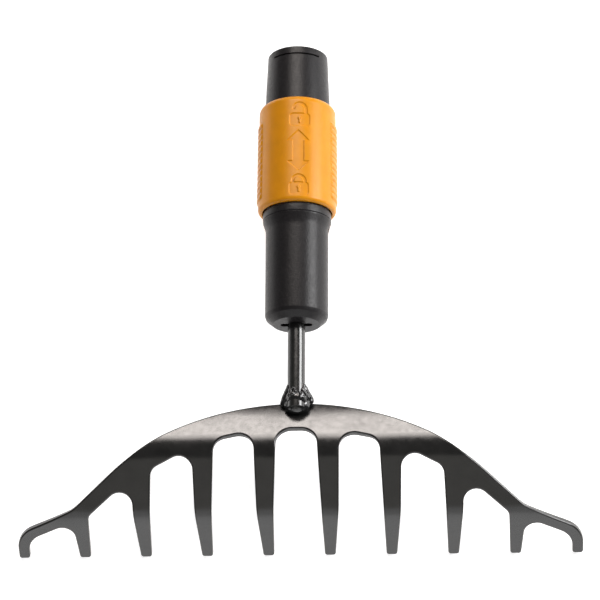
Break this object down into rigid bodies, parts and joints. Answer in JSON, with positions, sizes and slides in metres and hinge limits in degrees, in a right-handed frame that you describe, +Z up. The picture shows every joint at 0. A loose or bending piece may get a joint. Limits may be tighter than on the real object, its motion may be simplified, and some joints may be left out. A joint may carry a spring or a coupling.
{
  "type": "garden rake head",
  "caption": "Garden rake head with short bent tines and a quick-release handle socket; a spring sleeve pulls back to draw two latch keys out of the bore.",
  "frame": {"origin": "on the ground under the middle of the head, which lies with its tines down", "axes": "+X across the tines, +Y towards the socket's mouth, +Z up from the ground; the tine tips and the sleeve touch z = 0"},
  "size_m": [0.3578, 0.3318, 0.0565],
  "materials": {
    "black_steel": "gloss black paint",
    "weld": "gloss black paint over a weld bead",
    "black_moulding": "fine grained moulded plastic",
    "orange_moulding": "satin moulded plastic",
    "zinc_steel": "zinc plated",
    "spring_steel": "oiled spring steel",
    "key_steel": "ground and hardened",
    "black_rubber": "moulded rubber"
  },
  "bodies": {
    "head": {"rake_blade": "black_steel", "weld_bead": "weld", "shank_rod": "black_steel", "shank_bush": "zinc_steel", "shank_pin": "spring_steel", "push_nut": "spring_steel", "adaptor_body": "black_moulding", "spigot_pin": "spring_steel", "guide_collar": "black_moulding", "socket_tube": "black_moulding", "socket_floor": "black_moulding", "floor_pad": "black_rubber", "anti_rattle_ring": "black_rubber", "spring_seat": "zinc_steel", "return_spring": "spring_steel", "stop_ring": "spring_steel", "key_spread_ring": "spring_steel"},
    "sleeve": {"release_sleeve": "orange_moulding", "cam_ring": "zinc_steel", "cam_snap_ring": "spring_steel"},
    "key_left": {"lock_key_left": "key_steel"},
    "key_right": {"lock_key_right": "key_steel"}
  },
  "joints": [
    {"name": "sleeve_slide", "type": "slide", "parent": "head", "child": "sleeve", "axis": [0, -0.9967, 0.081], "range_m": [0, 0.012], "stiffness_N_per_m": 900, "springref_m": -0.006, "deforming": ["return_spring"]},
    {"name": "key_left_slide", "type": "slide", "parent": "head", "child": "key_left", "axis": [-1, 0, 0], "range_m": [0, 0.002], "deforming": ["key_spread_ring"]},
    {"name": "key_right_slide", "type": "slide", "parent": "head", "child": "key_right", "axis": [1, 0, 0], "range_m": [0, 0.002]}
  ],
  "couplings": [
    {"joint": "key_left_slide", "follows": "sleeve_slide", "ratio": 0.16666},
    {"joint": "key_right_slide", "follows": "sleeve_slide", "ratio": 0.16666}
  ]
}
